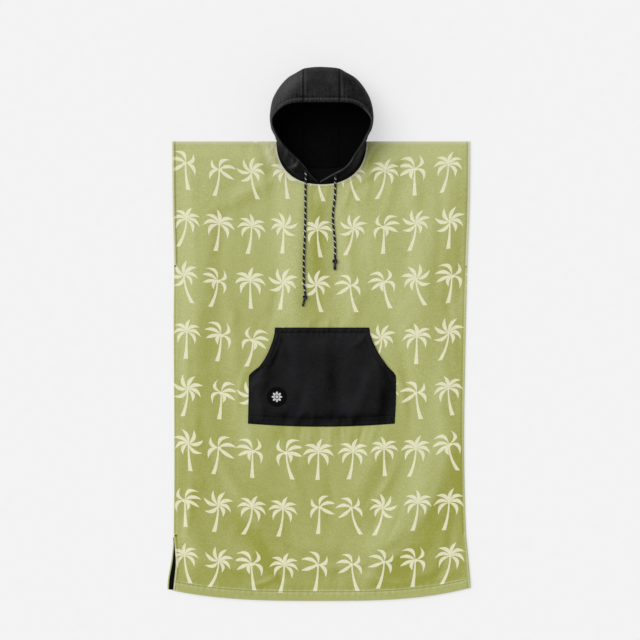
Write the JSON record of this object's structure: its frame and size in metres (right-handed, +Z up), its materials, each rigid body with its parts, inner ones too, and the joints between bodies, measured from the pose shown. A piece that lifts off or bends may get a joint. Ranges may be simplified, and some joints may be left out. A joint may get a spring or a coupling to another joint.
{
  "type": "hooded bath poncho, laid flat",
  "caption": "Sleeveless hooded towelling poncho laid flat on its back, palm print body, dark hood with drawcords, kangaroo pocket and side slits.",
  "frame": {"origin": "under the middle of the whole garment's box, on the surface that it lies on", "axes": "+X to the right as it is seen from above, +Y from the hem to the hood, +Z up from the surface"},
  "size_m": [0.7424, 1.3002, 0.1183],
  "materials": {
    "print_towelling": "short brushed pile, leaf green with pale cream palm print",
    "hood_towelling": "short brushed pile, near black, matt with a faint sheen",
    "pocket_towelling": "short brushed pile, near black, matt",
    "patch_weave": "dense woven patch, black with a small pale mark",
    "slit_tape": "black twill tape",
    "drawcord": "round braid, black with slanting white flecks"
  },
  "bodies": {
    "root": {"back_panel": "print_towelling", "front_panel": "print_towelling", "hood_left": "hood_towelling", "hood_strip": "hood_towelling", "hood_right": "hood_towelling", "pocket": "pocket_towelling", "pocket_patch": "patch_weave", "slit_tape_left": "slit_tape", "cord_left": "drawcord", "cord_right": "drawcord", "cord_left_knot": "drawcord", "cord_right_knot": "drawcord"}
  },
  "joints": []
}
